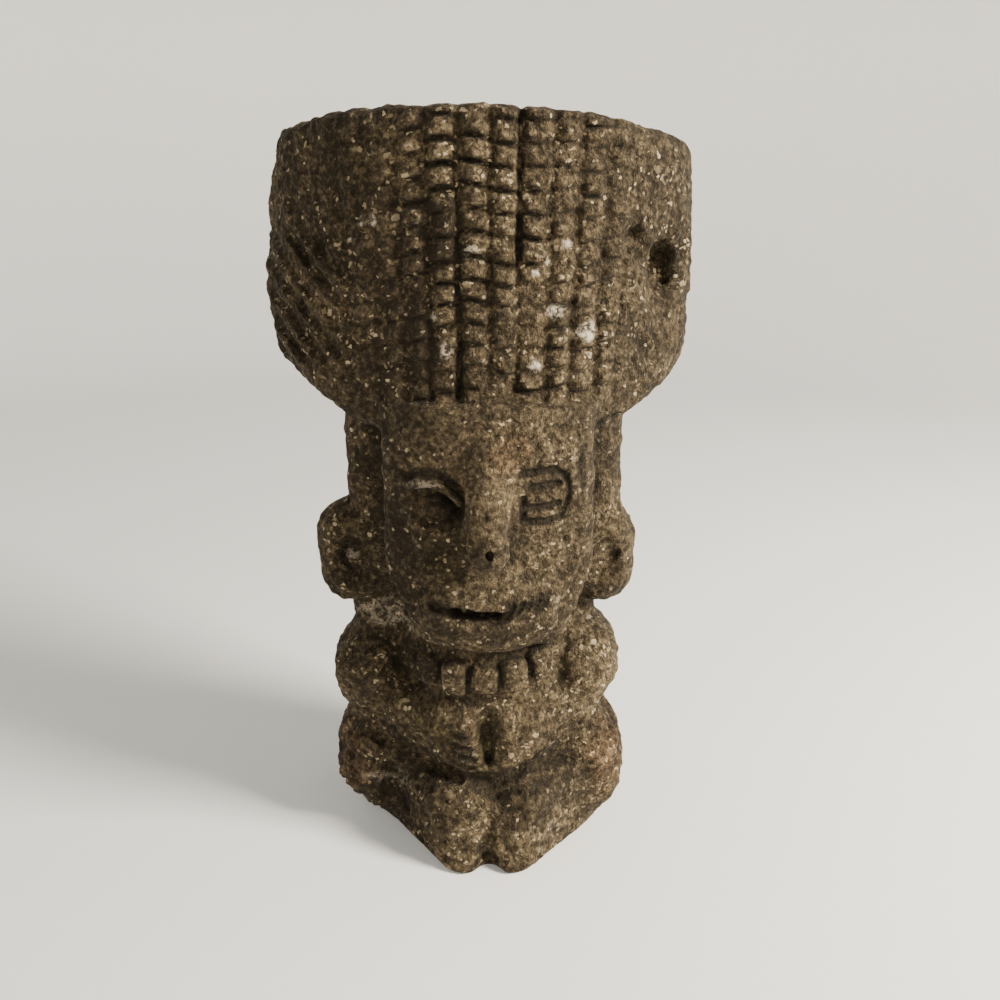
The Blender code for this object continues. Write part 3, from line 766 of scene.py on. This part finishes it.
# Painted shade: darker patches where shade falls, in the right eye's socket, along the mouth, in the hollow
# beside the nose, between arm and chin, under the necklace and forearm, beside the face, under the lip and on
# the shaded left of the headdress
PAINTED_SHADE_BLOTS = (
    ((EYES[0][0] + 1, FACE_FRONT + 8, EYES[0][1] - 4), (10, 8, 7)),
    ((FACE_X - 7, FACE_FRONT + 2, MOUTH - 1), (24, 12, 2.6)),
    ((FACE_X + 16, FACE_FRONT + 2, MOUTH + 3), (12, 12, 2.2)),
    ((FACE_X - 19, FACE_FRONT + 2, NOSE_TIP - 4), (12, 12, 13)),
    ((-30, -30, 90), (16, 16, 12)),
    ((-12, -44, 80), (24, 12, 4)),
    ((-34, -36, 48), (16, 14, 5)),
    ((FACE_X - 34, -30, 150), (12, 16, 40)),
    ((FACE_X - 2, FACE_FRONT, 116), (22, 12, 6)),
    ((-24, -40, 234), (8, 16, 26)),
    ((-14, -40, 284), (12, 16, 18)),
)
# Painted light: lighter patches where the key light strikes, on the cheek, shoulder and knee on the figure's
# left and on the ridge of the nose
PAINTED_LIGHT_BLOTS = (
    ((FACE_X + 24, FACE_FRONT + 4, 150), (16, 14, 24)),
    ((50, -16, 86), (20, 30, 20)),
    ((56, -16, 34), (18, 30, 20)),
    ((FACE_X + 4, NOSE_FRONT, 180), (8, 16, 26)),
)
RED_BLOTS = (
    ((-62, -16, 36), (14, 26, 20)),
    ((62, -16, 40), (14, 26, 26)),
    ((14, -52, 196), (9, 12, 9)),
)
GREEN_BLOTS = (
    ((FACE_X - 19, FACE_FRONT + 2, NOSE_TIP - 4), (11, 12, 12)),
    ((3.5, -44, HAND_HEIGHT - 2), (6, 12, 18)),
    ((-20, -44, HAND_HEIGHT + 4), (12, 12, 10)),
)


def blotted(p, places):
    """The strongest of the patches at each point."""
    return np.maximum.reduce([blot(p, *place) for place in places])


def liming(p, near_open):
    """How thickly lime and pale grains show at each point, from 0 to 1."""
    clusters = smoothstep((0.7 * noise(p, 13, 71) + 0.6 * noise(p, 6, 72) + 0.35) / 0.9)
    worn = 0.25 * smoothstep(near_open)
    low = 0.15 * smoothstep((110 - p[:, 2]) / 20)
    return np.clip(0.5 * clusters + 0.4 * blotted(p, PALE_BLOTS) + worn - 0.1 + low, 0, 1)


def kernel_tone(p):
    """The maize is paler on its worn kernels, and painted shade darkens the gaps between them."""
    height = np.clip(kernels(p) / KERNEL_RELIEF - 0.35, -0.8, 0.6)
    return 0.5 * height * smoothstep((p[:, 2] - MAIZE_FOOT + 0.5) / 4) * (p[:, 1] < -10)


def stone_tone(p, painted_shade):
    """How light the ground colour is at each point: mottled, with painted shade on the figure's right and on
    the headdress's left flank, and painted light on the lit cheek, shoulder, knee and nose.
    """
    tone = 0.5 + 0.35 * noise(p, 24, 61) + 0.35 * noise(p, 8, 62) + kernel_tone(p)
    # Painted shade: the figure's right side, away from the key light, and the lit left flank of the headdress
    # made darker
    tone -= 0.3 * smoothstep((-15 - p[:, 0]) / 25)
    tone -= 0.35 * smoothstep((p[:, 0] - 58) / 14) * smoothstep((p[:, 2] - 205) / 10)
    # Painted light on the faces that the key light strikes
    tone += 0.3 * blotted(p, PAINTED_LIGHT_BLOTS)
    tone += 0.35 * blot(p, *PALE_BLOTS[0])
    # Painted shade from the shade patches darkens the tone
    return tone - 0.7 * painted_shade


def keep_finish(data, p, facing):
    """Keeps what the material needs to know at each point of the mesh."""
    near_open, far_open = openness(p, facing, 3.0), openness(p, facing, 12.0)
    # Painted shade: darker colour in recesses, where little free space lies in front of the surface
    recess = smoothstep((near_open - 0.2) / 0.7) * (0.4 + 0.6 * smoothstep(far_open / 0.75))
    # Painted shade patches: they darken the tone and thin out the pale grains
    painted_shade = blotted(p, PAINTED_SHADE_BLOTS)
    pebbles = [blot(p, at, (r, r + 4, r), 0.3) for at, r in WHITE_SPOTS]
    keep_attribute(data, "open", recess)
    keep_attribute(data, "lime", liming(p, near_open) * (1.0 - 0.5 * painted_shade))
    keep_attribute(data, "tone", stone_tone(p, painted_shade))
    keep_attribute(data, "white", np.maximum.reduce([*pebbles, 0.3 * blotted(p, VEILS)]))
    keep_attribute(data, "red", blotted(p, RED_BLOTS))
    keep_attribute(data, "green", blotted(p, GREEN_BLOTS))


def stone_skin():
    """The whole figure as one weathered mesh."""
    points, quads = surface_net(*sampled())
    normals = normals_of(points, quads)
    worn = weathering(points) * (0.25 + 0.75 * openness(points, normals, 3.5)) * preserved(points)
    grounded = smoothstep(points[:, 2] / 3.0)
    dressed = smoothstep((BACK - points[:, 1]) / 3.0) * 0.65 + 0.35
    points = points + normals * (worn * grounded * dressed)[:, None]
    points[:, 2] = np.maximum(points[:, 2], 0.0)
    data = thinned(filled_mesh("dense", points, quads), TRIANGLES)
    data.name = "weathered_stone_figure"
    p = np.zeros(len(data.vertices) * 3, np.float32)
    data.vertices.foreach_get("co", p)
    p = p.reshape(-1, 3).astype(float)
    data.calc_loop_triangles()
    corners = np.zeros(len(data.loop_triangles) * 3, np.int32)
    data.loop_triangles.foreach_get("vertices", corners)
    keep_finish(data, p, normals_of(p, corners.reshape(-1, 3)))
    data.vertices.foreach_set("co", (p * SCALE).astype(np.float32).ravel())
    data.shade_smooth()
    data.update()
    skin = bpy.data.objects.new("weathered_stone_figure", data)
    bpy.context.scene.collection.objects.link(skin)
    return skin


class Nodes:
    """A short way to write a material's node tree."""

    def __init__(self, material):
        self.tree = material.node_tree

    def make(self, kind, inputs=None, **settings):
        node = self.tree.nodes.new(kind)
        for name, value in settings.items():
            setattr(node, name, value)
        for key, value in (inputs or {}).items():
            if isinstance(value, bpy.types.NodeSocket):
                self.tree.links.new(value, node.inputs[key])
            else:
                node.inputs[key].default_value = value
        return node

    def noise(self, place, size_mm, detail, roughness):
        """Noise whose lumps are about this many millimetres across."""
        inputs = {"Vector": place, "Scale": 1000.0 / size_mm, "Detail": detail, "Roughness": roughness}
        return self.make("ShaderNodeTexNoise", inputs).outputs["Fac"]

    def bent(self, place, size_mm, metres):
        """The place shifted about by up to this many metres, so that what is drawn there is ragged."""
        shift = self.make("ShaderNodeTexNoise", {"Vector": place, "Scale": 1000.0 / size_mm, "Detail": 1.0})
        centred = self.vector_math("SUBTRACT", shift.outputs["Color"], (0.5, 0.5, 0.5))
        return self.vector_math("ADD", place, self.vector_math("MULTIPLY", centred, (metres,) * 3))

    def chunks(self, place, size_mm):
        """Angular chunks that fill the stone: each one's own number from 0 to 1, and a second one."""
        cells = self.make("ShaderNodeTexVoronoi", {"Vector": place, "Scale": 1000.0 / size_mm})
        own = self.make("ShaderNodeSeparateColor", {"Color": cells.outputs["Color"]})
        return own.outputs[0], own.outputs[1]

    def ramp(self, value, stops):
        """Colours that follow one another as the value rises, each at its place between 0 and 1."""
        node = self.make("ShaderNodeValToRGB", {"Fac": value})
        elements = node.color_ramp.elements
        for position, colour in stops:
            elements.new(position).color = (*colour, 1)
        elements.remove(elements[-1])
        elements.remove(elements[0])
        return node.outputs["Color"]

    def step(self, value, low, high, to_low=0.0, to_high=1.0):
        """A smooth step of the value from low to high."""
        inputs = {"Value": value, "From Min": low, "From Max": high, "To Min": to_low, "To Max": to_high}
        return self.make("ShaderNodeMapRange", inputs, interpolation_type="SMOOTHSTEP").outputs["Result"]

    def vector_math(self, operation, a, b):
        return self.make("ShaderNodeVectorMath", {0: a, 1: b}, operation=operation).outputs[0]

    def math(self, operation, a, b=0.0, c=0.0):
        return self.make("ShaderNodeMath", {0: a, 1: b, 2: c}, operation=operation).outputs[0]

    def mix(self, share, a, b, blend="MIX"):
        node = self.make("ShaderNodeMix", data_type="RGBA", blend_type=blend)
        for socket, value in ((node.inputs[0], share), (node.inputs[6], a), (node.inputs[7], b)):
            if isinstance(value, bpy.types.NodeSocket):
                self.tree.links.new(value, socket)
            else:
                socket.default_value = value
        return node.outputs[2]

    def attribute(self, name):
        return self.make("ShaderNodeAttribute", attribute_name=name, attribute_type="GEOMETRY").outputs["Fac"]


# The stone's colours: its ground's from its pores to its crust, those of chunks, pebbles and stains, and the
# painted shade laid into its recesses
GROUND_COLOURS = (
    (0.46, (0.015, 0.010, 0.004)),
    (0.56, (0.035, 0.024, 0.011)),
    (0.65, (0.064, 0.045, 0.022)),
    (0.73, (0.107, 0.077, 0.040)),
    (0.81, (0.186, 0.138, 0.077)),
    (0.90, (0.325, 0.248, 0.150)),
)
CHUNK_COLOURS = ((0.128, 0.094, 0.052, 1), (0.415, 0.332, 0.212, 1))
WHITE_COLOUR = (0.560, 0.480, 0.370, 1)
RED_STAIN = (0.98, 0.70, 0.54, 1)
GREEN_STAIN = (0.66, 0.70, 0.46, 1)
RECESS_SHADE_COLOUR = (0.010, 0.007, 0.003, 1)

# Its chunks: their size in millimetres, their least share and the share that lime adds
CHUNKS = ((1.3, 0.012, 0.13), (2.3, 0.00, 0.06))

# Its grains: their size and raggedness in millimetres, and in metres how far they are bent and raised
GRAIN_MM = 2.6
RAGGED_MM = 1.9
RAGGED_REACH = 0.0014
GRAIN_RELIEF = 0.0030


def stone_material():
    """Dark weathered volcanic stone: black in its pores, brown between them, with pale chunks and crusts."""
    material = bpy.data.materials.new("weathered stone")
    material.use_nodes = True
    nodes = Nodes(material)
    shader = material.node_tree.nodes["Principled BSDF"]
    place = nodes.make("ShaderNodeTexCoord").outputs["Object"]
    lime, white = nodes.attribute("lime"), nodes.attribute("white")

    bent = nodes.bent(place, RAGGED_MM, RAGGED_REACH)
    grain = nodes.math("MULTIPLY_ADD", lime, 0.10, nodes.noise(bent, GRAIN_MM, 3, 0.72))
    # The tone carries painted shade and painted light as well as the stone's mottling
    grain = nodes.math("MULTIPLY_ADD", nodes.attribute("tone"), 0.12, grain)
    ground = nodes.ramp(grain, GROUND_COLOURS)

    for size_mm, least, more in CHUNKS:
        own, tint = nodes.chunks(bent, size_mm)
        share = nodes.math("MULTIPLY_ADD", lime, more, least)
        chunk = nodes.step(nodes.math("ADD", own, share), 1.0, 1.03)
        colour = nodes.mix(nodes.math("POWER", tint, 2.2), *CHUNK_COLOURS)
        ground = nodes.mix(chunk, ground, colour)
    white = nodes.math("MULTIPLY", white, nodes.step(grain, 0.50, 0.62, 0.1, 0.85))
    ground = nodes.mix(white, ground, WHITE_COLOUR)

    for name, share, stain in (("red", 0.4, RED_STAIN), ("green", 0.6, GREEN_STAIN)):
        tint = nodes.math("MULTIPLY", nodes.attribute(name), share)
        ground = nodes.mix(tint, ground, stain, "MULTIPLY")
    # Painted shade in recesses: the colour mixed towards near-black where the figure closes in round a point
    ground = nodes.mix(nodes.attribute("open"), nodes.mix(0.86, ground, RECESS_SHADE_COLOUR), ground)
    material.node_tree.links.new(ground, shader.inputs["Base Color"])

    material.node_tree.links.new(nodes.step(grain, 0.4, 0.7, 0.97, 0.80), shader.inputs["Roughness"])
    shader.inputs["Specular IOR Level"].default_value = 0.25

    height = nodes.noise(place, GRAIN_MM, 3, 0.75)
    bump = nodes.make("ShaderNodeBump", {"Strength": 1.0, "Distance": GRAIN_RELIEF, "Height": height})
    material.node_tree.links.new(bump.outputs["Normal"], shader.inputs["Normal"])
    return material


# The stage, in metres: a round floor that turns up into a wall all round, alike from every side
FLOOR_RADIUS = 1.1
SWEEP_RADIUS = 0.5
WALL_HEIGHT = 2.2
FLOOR_SIDES = 96
FLOOR_COLOUR = (0.85, 0.84, 0.81)
FLOOR_ROUGHNESS = 0.8
FLOOR_GLOW = 0.075
FLOOR_GLOW_COLOUR = (0.76, 0.88, 1.0)

# The lights: place, size, power and colour
LIT_PLACE = (0, 0, 0.17)
KEY_LIGHT = ((1.0, -0.39, 0.78), 0.40, 50.0, (1.0, 0.93, 0.82))
FILL_LIGHT = ((-0.9, -0.5, 0.45), 0.8, 0.3, (0.80, 0.90, 1.0))
SKY_COLOUR = (0.88, 0.93, 1.0, 1)
SKY_STRENGTH = 0.06


def floor_material():
    """Pale matt paint that glows faintly, as a wall does in the light of a room."""
    material = bpy.data.materials.new("pale floor")
    material.use_nodes = True
    shader = material.node_tree.nodes["Principled BSDF"]
    shader.inputs["Base Color"].default_value = (*FLOOR_COLOUR, 1)
    shader.inputs["Roughness"].default_value = FLOOR_ROUGHNESS
    shader.inputs["Specular IOR Level"].default_value = 0.2
    shader.inputs["Emission Color"].default_value = (*FLOOR_GLOW_COLOUR, 1)
    shader.inputs["Emission Strength"].default_value = FLOOR_GLOW
    return material


def studio_floor():
    rings = [(0.0, 0.0), (0.35, 0.0), (0.7, 0.0), (FLOOR_RADIUS, 0.0)]
    for angle in np.radians(np.linspace(7.5, 90, 12)):
        rings.append((FLOOR_RADIUS + SWEEP_RADIUS * math.sin(angle), SWEEP_RADIUS * (1 - math.cos(angle))))
    rings.append((FLOOR_RADIUS + SWEEP_RADIUS, WALL_HEIGHT))
    points, faces = [], []
    for radius, height in rings:
        for turn in np.linspace(0, 2 * math.pi, FLOOR_SIDES, endpoint=False):
            points.append((radius * math.cos(turn), radius * math.sin(turn), height))
    for ring in range(len(rings) - 1):
        inner, outer = ring * FLOOR_SIDES, (ring + 1) * FLOOR_SIDES
        for side in range(FLOOR_SIDES):
            following = (side + 1) % FLOOR_SIDES
            faces.append((inner + side, inner + following, outer + following, outer + side))
    data = bpy.data.meshes.new("studio_floor")
    data.from_pydata(points, [], faces)
    data.shade_smooth()
    data.materials.append(floor_material())
    floor = bpy.data.objects.new("studio_floor", data)
    bpy.context.scene.collection.objects.link(floor)


def area_light(name, place, size, power, colour):
    """A round light turned to the figure."""
    light = bpy.data.lights.new(name, "AREA")
    light.shape = "DISK"
    light.size = size
    light.energy = power
    light.color = colour
    lamp = bpy.data.objects.new(name, light)
    lamp.location = place
    lamp.rotation_mode = "QUATERNION"
    direction = np.array(LIT_PLACE) - np.array(place)
    lamp.rotation_quaternion = Vector(direction).to_track_quat("-Z", "Y")
    bpy.context.scene.collection.objects.link(lamp)


def studio_light():
    """A broad warm light high on the right, a weak cool one on the left, and a dim sky."""
    area_light("key", *KEY_LIGHT)
    area_light("fill", *FILL_LIGHT)
    world = bpy.data.worlds.new("studio")
    world.use_nodes = True
    background = world.node_tree.nodes["Background"]
    background.inputs["Color"].default_value = SKY_COLOUR
    background.inputs["Strength"].default_value = SKY_STRENGTH
    bpy.context.scene.world = world


# The camera that took the photograph, in metres and degrees, its focal length in sensor widths
CAMERA_PLACE = (0.009, -0.443, 0.304)
CAMERA_DOWN = 18.0
CAMERA_LENS = 1.0


def camera():
    data = bpy.data.cameras.new("camera")
    data.sensor_width = 36.0
    data.lens = CAMERA_LENS * data.sensor_width
    data.clip_start = 0.01
    eye = bpy.data.objects.new("camera", data)
    eye.location = CAMERA_PLACE
    eye.rotation_euler = (math.radians(90 - CAMERA_DOWN), 0, 0)
    bpy.context.scene.collection.objects.link(eye)
    bpy.context.scene.camera = eye


figure_skin = stone_skin()
figure_skin.data.materials.append(stone_material())
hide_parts("stone_figure")
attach(figure_skin, "root")
studio_floor()
studio_light()
camera()

bpy.context.view_layer.update()
